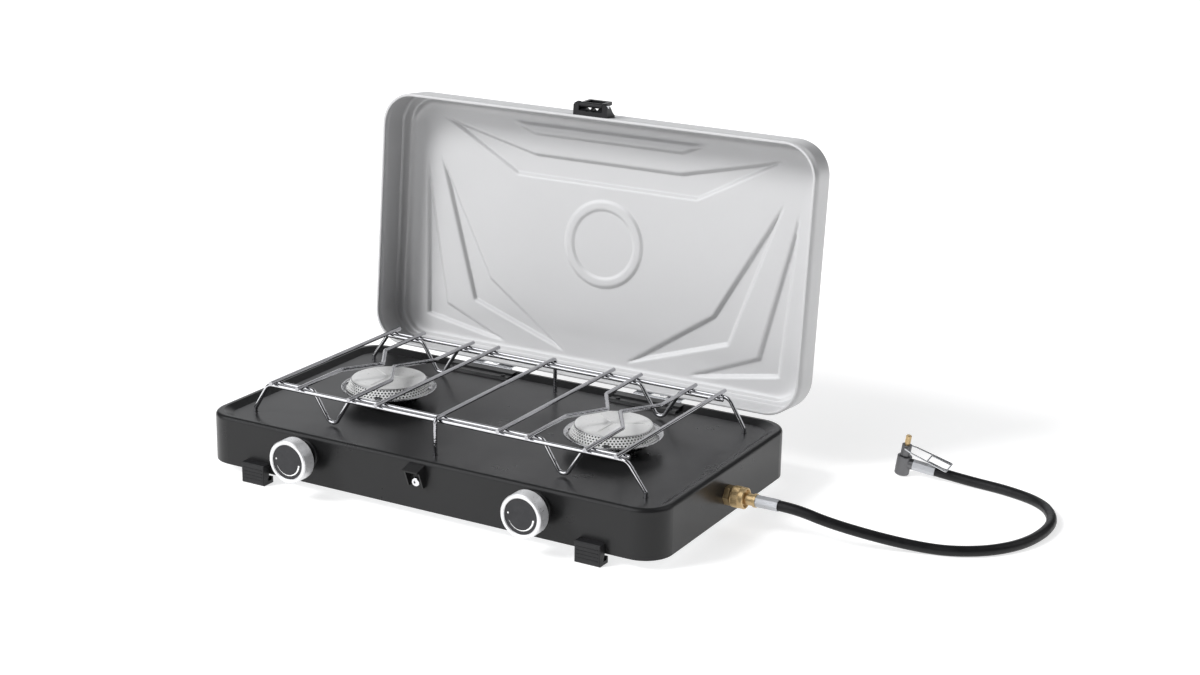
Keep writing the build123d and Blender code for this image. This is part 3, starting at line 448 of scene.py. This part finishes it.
# inset from the outside and height of the lid's edge, from the field to the rim
EDGE_PROFILE = [(25.0, 102.4), (22.0, 102.2), (18.5, 101.7), (16.0, 101.0), (14.4, 100.1)]
EDGE_PROFILE += [(13.2, 99.0), (12.2, 97.9), (11.2, 97.15), (10.4, 97.0), (7.0, 96.9)]
EDGE_PROFILE += [
    (
        SHOULDER_RADIUS - SHOULDER_RADIUS * sin(radians(90 / SHOULDER_STEPS * step)),
        SHOULDER_Z + SHOULDER_RADIUS * cos(radians(90 / SHOULDER_STEPS * step)),
    )
    for step in range(SHOULDER_STEPS + 1)
]
EDGE_PROFILE += [(0.0, 84.0), (0.0, 72.0), (0.0, 60.4)]
RIB_DEPTH = 3.3
RIB_SLOPE = 3.4
# outlines of the pressed ribs, and of the flat at the front, as x and y of the shut lid
RIBS = [
    [(-204, -108.5), (-85, -81.5), (85, -81.5), (204, -108.5), (106, -55.5), (-106, -55.5)],
    [(-220, -68), (-184.5, 93), (-90, 130.5), (-211, 110)],
    [(220, -68), (211, 110), (90, 130.5), (184.5, 93)],
    [(-205, -73), (-131.5, 58), (-30, 126.8), (-152.5, 86.3)],
    [(205, -73), (152.5, 86.3), (30, 126.8), (131.5, 58)],
]
TOP_FLAT = [(-150, -125), (-86, -100), (86, -100), (150, -125), (150, -160), (-150, -160)]
TOP_FLAT_DEPTH, TOP_FLAT_SLOPE = 2.4, 3.5
BOSS_CENTRE = (2.0, 3.5)
BOSS_RADIUS = 46.0
BOSS_DEPTH, BOSS_SLOPE = 1.6, 2.6
BOSS_BORDER = 9.0
BOSS_DISH_DEPTH, BOSS_DISH_SLOPE = 1.3, 2.4
PATTERN_FADE = 5.0
HEM_SIDES = 16
HEM_HALF_WIDTH, HEM_HALF_HEIGHT = 1.5, 1.3
HEM_MIDDLE_Z = 60.6
HEM_SQUARENESS = 0.7


def smooth_step(value):
    value = np.clip(value, 0.0, 1.0)
    return value * value * (3.0 - 2.0 * value)


def inside_distance(x, y, corners):
    """Distance to the outline of a polygon, positive inside it."""
    nearest = np.full(x.shape, 1e9)
    inside = np.zeros(x.shape, bool)
    for (ax, ay), (bx, by) in zip(corners, corners[1:] + corners[:1]):
        ex, ey = bx - ax, by - ay
        along = np.clip(((x - ax) * ex + (y - ay) * ey) / (ex * ex + ey * ey), 0, 1)
        nearest = np.minimum(nearest, np.hypot(x - ax - along * ex, y - ay - along * ey))
        crosses = (ay > y) != (by > y)
        slant = ex * (y - ay) / (ey if ey else 1e-9) + ax
        inside ^= crosses & (x < slant)
    return np.where(inside, nearest, -nearest)


def rounded_grid(half_x, half_y, corner, pitch):
    """Grid points of a rectangle whose corner squares are drawn in to quarter circles."""
    count_x, count_y = round(2 * half_x / pitch), round(2 * half_y / pitch)
    x, y = np.meshgrid(
        np.linspace(-half_x, half_x, count_x + 1), np.linspace(-half_y, half_y, count_y + 1)
    )
    over_x = np.maximum(np.abs(x) - (half_x - corner), 0)
    over_y = np.maximum(np.abs(y) - (half_y - corner), 0)
    length = np.hypot(over_x, over_y)
    keep = np.where(length > 0, np.maximum(over_x, over_y) / np.maximum(length, 1e-9), 1.0)
    new_x = np.sign(x) * (np.minimum(np.abs(x), half_x - corner) + over_x * keep)
    new_y = np.sign(y) * (np.minimum(np.abs(y), half_y - corner) + over_y * keep)
    return new_x, new_y


def panel_height(x, y, edge):
    """How far the pressed pattern stands out of the lid's panel, away from the hob."""
    height = np.zeros(x.shape)
    for corners in RIBS:
        height += RIB_DEPTH * smooth_step(inside_distance(x, y, corners) / RIB_SLOPE)
    height -= TOP_FLAT_DEPTH * smooth_step(inside_distance(x, y, TOP_FLAT) / TOP_FLAT_SLOPE)
    radius = np.hypot(x - BOSS_CENTRE[0], y - BOSS_CENTRE[1])
    height -= BOSS_DEPTH * smooth_step((BOSS_RADIUS - radius) / BOSS_SLOPE)
    dish = smooth_step((BOSS_RADIUS - BOSS_BORDER - radius) / BOSS_DISH_SLOPE)
    height += BOSS_DISH_DEPTH * dish
    return height * smooth_step(edge / PATTERN_FADE)


def lid_edge_place(px, py):
    """Place on the lid's outline, and the outward direction, of a point on the field's outline."""
    flat_x, flat_y = FIELD_HALF[0] - FIELD_CORNER, FIELD_HALF[1] - FIELD_CORNER
    near_x, near_y = np.clip(px, -flat_x, flat_x), np.clip(py, -flat_y, flat_y)
    out_x, out_y = (px - near_x) / FIELD_CORNER, (py - near_y) / FIELD_CORNER
    place_x = near_x / flat_x * (LID_HALF[0] - LID_CORNER) + out_x * LID_CORNER
    place_y = near_y / flat_y * (LID_HALF[1] - LID_CORNER) + out_y * LID_CORNER
    return place_x, LID_MIDDLE_Y + place_y, out_x, out_y


def hem_section():
    """Flattened circle of (inset, height) that the rolled hem follows round the rim."""
    section = []
    for step in range(HEM_SIDES):
        angle = tau * step / HEM_SIDES
        across = np.sign(cos(angle)) * abs(cos(angle)) ** HEM_SQUARENESS
        upward = np.sign(sin(angle)) * abs(sin(angle)) ** HEM_SQUARENESS
        inset = HEM_HALF_WIDTH - HEM_HALF_WIDTH * across
        section.append((inset, HEM_MIDDLE_Z + HEM_HALF_HEIGHT * upward))
    return section


def add_lid():
    """Panel with its pressed pattern, the wall down to the rim, and the hem round it."""
    x, y = rounded_grid(*FIELD_HALF, FIELD_CORNER, PANEL_PITCH)
    rows, columns = x.shape
    edge = np.minimum(FIELD_HALF[0] - np.abs(x), FIELD_HALF[1] - np.abs(y))
    field_y = y + FIELD_MIDDLE_Y
    z = PANEL_Z + panel_height(x, field_y, edge)
    points = [on_lid(*p) for p in zip(x.ravel(), field_y.ravel(), z.ravel())]
    faces = []
    for row in range(rows - 1):
        for column in range(columns - 1):
            here = row * columns + column
            faces.append((here, here + 1, here + columns + 1, here + columns))
    # border of the field, anticlockwise seen from outside
    border = [(0, c) for c in range(columns - 1)] + [(r, columns - 1) for r in range(rows - 1)]
    border += [(rows - 1, c) for c in range(columns - 1, 0, -1)]
    border += [(r, 0) for r in range(rows - 1, 0, -1)]
    inner = [(x[r, c], field_y[r, c]) for r, c in border]
    outer = [lid_edge_place(x[r, c], y[r, c]) for r, c in border]
    previous = [r * columns + c for r, c in border]
    for inset, height in EDGE_PROFILE:
        share = inset / FIELD_SIDE_INSET
        ring = []
        for (ix, iy), (ox, oy, _, _) in zip(inner, outer):
            ring.append(len(points))
            points.append(on_lid(ox + (ix - ox) * share, oy + (iy - oy) * share, height))
        for index in range(len(ring)):
            after = (index + 1) % len(ring)
            faces.append((previous[index], ring[index], ring[after], previous[after]))
        previous = ring
    # the hem, as a closed tube whose faces look outwards
    hem_first = len(points)
    section = hem_section()
    for ox, oy, nx, ny in outer:
        for inset, height in section:
            points.append(on_lid(ox - nx * inset, oy - ny * inset, height))
    faces += swept_faces(len(outer), len(section), first=hem_first)
    made = add_mesh("lid_pressing", points, faces, LID_PAINT, "lid")
    thicken(made, "sheet", LID_SHEET, -1.0)
    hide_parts("lid_shell")


add_lid()


# ------------------------------------------------------------------ burners
SKIRT_FOOT = (41.6, 67.6)
SKIRT_TOP = (36.9, 76.2)
SKIRT_ROWS = 4
SKIRT_HOLES = 72
HOLE_SIDES = 8
HOLE_SHARE = 0.64


def skirt_mesh(around):
    """Perforated cone: each cell is a square sheet with a round hole in it."""
    points, faces = [], []
    for row in range(SKIRT_ROWS):
        for cell in range(SKIRT_HOLES):
            middle = cell + (0.5 if row % 2 else 0.0)
            first = len(points)
            border, hole = [], []
            for step in range(HOLE_SIDES):
                angle = tau * step / HOLE_SIDES + pi / 4
                square = max(abs(cos(angle)), abs(sin(angle)))
                border.append((cos(angle) / square, sin(angle) / square))
                hole.append((HOLE_SHARE * cos(angle), HOLE_SHARE * sin(angle)))
            for u, v in border + hole:
                share = (row + 0.5 + v / 2) / SKIRT_ROWS
                turn = tau * (middle + u / 2) / SKIRT_HOLES
                radius = SKIRT_FOOT[0] + (SKIRT_TOP[0] - SKIRT_FOOT[0]) * share
                height = SKIRT_FOOT[1] + (SKIRT_TOP[1] - SKIRT_FOOT[1]) * share
                points.append(around(radius * cos(turn), radius * sin(turn), height))
            for step in range(HOLE_SIDES):
                after = (step + 1) % HOLE_SIDES
                faces.append(
                    (
                        first + step,
                        first + after,
                        first + HOLE_SIDES + after,
                        first + HOLE_SIDES + step,
                    )
                )
    return points, faces


# (radius, height) of the lathe-turned pieces
BOWL_PROFILE = [
    (9.5, 48.2), (12.9, 48.2), (12.9, 58.3), (27.6, 58.3), (34.0, 61.6), (40.4, 66.4),
    (42.6, 66.8), (42.9, 67.3), (42.5, 67.9), (41.6, 67.9), (41.2, 67.3), (39.0, 66.3),
    (33.4, 62.4), (27.2, 59.3), (9.5, 59.3),
]
# cone just inside the perforated skirt, coloured near-black as painted shade behind the holes
SHADE_BACKING_PROFILE = [(40.2, 67.0), (35.8, 75.4), (0.01, 75.4)]
# radius, height and half the thickness of each bead: dish rim, dish step, under the cap
BEADS = ((46.7, 68.0, 0.75), (44.6, 66.7, 0.45), (36.9, 76.3, 0.55))
BEAD_SIDES = 12
LUG_ANGLES = (20, 110, 200, 290)
LUG_HALF_WIDTH = 2.6
LUG_PROFILE = [(42.7, 67.0), (43.2, 69.2), (41.2, 70.4), (40.6, 69.4), (41.9, 68.6), (41.8, 67.0)]


def ring_profile(radius, height, half):
    """Round section of a bead that runs round the burner."""
    return [
        (
            radius + half * cos(tau * step / BEAD_SIDES),
            height + half * sin(tau * step / BEAD_SIDES),
        )
        for step in range(BEAD_SIDES)
    ]


def lug_mesh(around):
    """Crimped lugs that hold the cap to the bowl."""
    points, faces = [], []
    for angle in LUG_ANGLES:
        turn = radians(angle)
        first = len(points)
        for across in (-LUG_HALF_WIDTH, LUG_HALF_WIDTH):
            for radius, height in LUG_PROFILE:
                x = radius * cos(turn) - across * sin(turn)
                y = radius * sin(turn) + across * cos(turn)
                points.append(around(x, y, height))
        faces += bar_faces(first, len(LUG_PROFILE))
    return points, faces


def add_burner(side, label):
    centre_x = BURNER_X * side

    def around(x, y, z):
        return at(centre_x + x, y, z)

    points, faces = skirt_mesh(around)
    skirt = add_mesh(f"burner_skirt_{label}", points, faces, MESH, "base")
    thicken(skirt, "sheet", SKIRT_SHEET, 0.0)

    points, faces = lathe(BOWL_PROFILE, around, 128, closed=True)
    head = add_mesh(f"burner_bowl_{label}", points, faces, STEEL, "base")
    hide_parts(f"burner_head_{label}")
    # near-black cone behind the skirt's holes: painted shade
    points, faces = lathe(SHADE_BACKING_PROFILE, around, 96)
    add_mesh(f"burner_shade_backing_{label}", points, faces, BURNER_SHADE, "base")
    for number, bead in enumerate(BEADS):
        points, faces = lathe(ring_profile(*bead), around, 128, closed=True)
        add_mesh(f"burner_bead_{label}_{number}", points, faces, DISH, "base")
    points, faces = lug_mesh(around)
    add_mesh(f"burner_lugs_{label}", points, faces, BRIGHT, "base", smooth=False)


for burner_side, burner_label in SIDES:
    add_burner(burner_side, burner_label)


# ------------------------------------------------------------------ union nut
NUT_TEETH = 44
# how deep the groove between two teeth is at each step round a tooth
TOOTH_STEPS = (0.0, 0.35, 1.0, 0.35)


def add_union_nut():
    """Nut with a straight knurl between two plain rings; rows are (x, radius, tooth depth)."""
    outside = [
        (256.3, 9.0, 0.0), (256.5, 9.6, 0.0), (257.3, 9.9, 0.0), (257.7, 9.7, 0.0),
        (258.1, 10.15, 0.3), (264.6, 10.15, 0.3), (265.0, 9.6, 0.0), (265.7, 9.5, 0.0),
        (266.1, 10.1, 0.0), (269.2, 10.1, 0.0), (269.8, 9.7, 0.0), (270.0, 9.2, 0.0),
    ]
    inside = [
        (270.0, 8.6, 0.0), (267.6, 7.4, 0.0), (267.6, 5.57, 0.0), (264.8, 5.57, 0.0),
        (264.8, 7.0, 0.0), (256.3, 7.0, 0.0),
    ]
    profile = outside + inside
    count = NUT_TEETH * len(TOOTH_STEPS)
    points = []
    for step in range(count):
        angle = tau * step / count
        valley = TOOTH_STEPS[step % len(TOOTH_STEPS)]
        for place, radius, tooth in profile:
            drawn = radius - tooth * valley
            points.append(at(place, INLET_Y + drawn * cos(angle), INLET_Z + drawn * sin(angle)))
    faces = swept_faces(count, len(profile))
    made = add_mesh("knurled_nut", points, faces, BRASS, "union_nut", smooth=False)
    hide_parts("union_nut")


add_union_nut()


# ------------------------------------------------------------------ ribs of the feet
FOOT_RIB_HEIGHTS = (5.0, 8.5, 12.0, 15.5)
FOOT_RIB_HALF_LENGTH = 11.2
# distance out from the casing's middle, and height about the rib's own middle
FOOT_RIB_SECTION = ((147.4, -0.6), (147.9, -0.35), (147.9, 0.35), (147.4, 0.6))


def add_foot_ribs(name, centre_x, facing):
    """Four level ribs on the outer face of a foot."""
    points, faces = [], []
    for height in FOOT_RIB_HEIGHTS:
        first = len(points)
        for x in (-FOOT_RIB_HALF_LENGTH, FOOT_RIB_HALF_LENGTH):
            for out, up in FOOT_RIB_SECTION:
                points.append(at(centre_x + x, facing * out, height + up))
        faces += bar_faces(first, len(FOOT_RIB_SECTION))
    add_mesh(name, points, faces, FOOT, "base", smooth=False)


for row_name, row_facing in (("front", -1), ("rear", 1)):
    for foot_side, foot_label in SIDES:
        add_foot_ribs(f"foot_ribs_{row_name}_{foot_label}", FOOT_X * foot_side, row_facing)


# ------------------------------------------------------------------ knob marks
MARK_FACE_Y = -166.04
CRESCENT_RADIUS = 13.2
CRESCENT_START, CRESCENT_SWEEP = 205, 150
CRESCENT_THIN, CRESCENT_GROWTH, CRESCENT_CURVE = 0.25, 1.7, 1.3
CRESCENT_STEPS = 48
DOT_CENTRE = (-13.0, 1.2)
DOT_RADIUS = 0.9
DOT_SIDES = 20


def add_knob_marks(side, label):
    """Printed crescent that widens from the off position, and the pointer dot."""

    def flat(x, z):
        return at(KNOB_X * side + x, MARK_FACE_Y, KNOB_Z + z)

    points, faces = [], []
    for step in range(CRESCENT_STEPS + 1):
        share = step / CRESCENT_STEPS
        angle = radians(CRESCENT_START + CRESCENT_SWEEP * share)
        wide = CRESCENT_THIN + CRESCENT_GROWTH * share**CRESCENT_CURVE
        for radius in (CRESCENT_RADIUS - wide / 2, CRESCENT_RADIUS + wide / 2):
            points.append(flat(radius * cos(angle), radius * sin(angle)))
    for step in range(CRESCENT_STEPS):
        here = 2 * step
        faces.append((here, here + 1, here + 3, here + 2))
    first = len(points)
    for step in range(DOT_SIDES):
        angle = tau * step / DOT_SIDES
        x = DOT_CENTRE[0] + DOT_RADIUS * cos(angle)
        z = DOT_CENTRE[1] + DOT_RADIUS * sin(angle)
        points.append(flat(x, z))
    faces.append(tuple(range(first, first + DOT_SIDES)))
    marks = add_mesh(f"knob_mark_{label}", points, faces, PRINT, f"knob_{label}")
    thicken(marks, "ink", INK, 0.0)


for knob_side, knob_label in SIDES:
    add_knob_marks(knob_side, knob_label)


# ------------------------------------------------------------------ floor and light
# metres, so wide that its edge stays out of sight in low views
FLOOR_HALF = 60.0


def add_floor():
    corners = [(x * FLOOR_HALF, y * FLOOR_HALF, 0) for x, y in ((-1, -1), (1, -1), (1, 1), (-1, 1))]
    data = bpy.data.meshes.new("studio_floor")
    data.from_pydata(corners, [], [(0, 1, 2, 3)])
    floor = bpy.data.objects.new("studio_floor", data)
    bpy.context.scene.collection.objects.link(floor)
    glow = dict(Emission_Color=(1, 1, 1, 1), Emission_Strength=0.66)
    made = Surface("pale_floor", (0.50, 0.50, 0.50), 0.8, **glow)
    made.rough(made.noise(3.0, 3.0), 0.75, 0.85)
    data.materials.append(made.material)


def add_sky_key(name, place, strength, spread):
    """Distant light that shades matt surfaces; plated ones mirror the studio instead."""
    data = bpy.data.lights.new(name, "SUN")
    data.energy = strength
    data.angle = radians(spread)
    made = bpy.data.objects.new(name, data)
    bpy.context.scene.collection.objects.link(made)
    made.location = place
    made.rotation_mode = "QUATERNION"
    made.rotation_quaternion = (-Vector(place)).to_track_quat("-Z", "Y")
    made.visible_glossy = False


add_floor()
add_sky_key("key", (-1.15, -1.3, 1.35), 3.3, 20.0)
add_sky_key("back_key", (1.6, 1.0, 1.5), 0.5, 40.0)


def add_world():
    """Dim studio with soft windows in front on the left, behind on the right and at the back."""
    world = bpy.data.worlds.new("studio_world")
    world.use_nodes = True
    tree = world.node_tree
    direction = tree.nodes.new("ShaderNodeTexCoord").outputs["Generated"]

    def math(operation, first, second):
        made = tree.nodes.new("ShaderNodeMath")
        made.operation = operation
        tree.links.new(first, made.inputs[0])
        tree.links.new(second, made.inputs[1])
        return made.outputs["Value"]

    def window(towards, edge, full, strength, base=0.0):
        """Glow round a direction; edge and full are cosines of the angle from it."""
        dot = tree.nodes.new("ShaderNodeVectorMath")
        dot.operation = "DOT_PRODUCT"
        tree.links.new(direction, dot.inputs[0])
        dot.inputs[1].default_value = Vector(towards).normalized()
        made = tree.nodes.new("ShaderNodeMapRange")
        made.interpolation_type = "SMOOTHSTEP"
        made.inputs["From Min"].default_value = edge
        made.inputs["From Max"].default_value = full
        made.inputs["To Min"].default_value = base
        made.inputs["To Max"].default_value = base + strength
        tree.links.new(dot.outputs["Value"], made.inputs["Value"])
        return made.outputs["Result"]

    front = window((-0.5, -0.65, 0.6), 0.80, 0.90, 1.7, base=0.05)
    behind = window((0.6, 0.45, 0.65), 0.84, 0.95, 0.7)
    backdrop = window((-0.5, 0.8, 0.3), 0.86, 0.96, 0.8)
    background = tree.nodes["Background"]
    background.inputs["Color"].default_value = (0.97, 0.98, 1.0, 1.0)
    glow = math("ADD", math("ADD", front, behind), backdrop)
    tree.links.new(glow, background.inputs["Strength"])
    bpy.context.scene.world = world


add_world()
bpy.context.scene.view_settings.view_transform = "Standard"
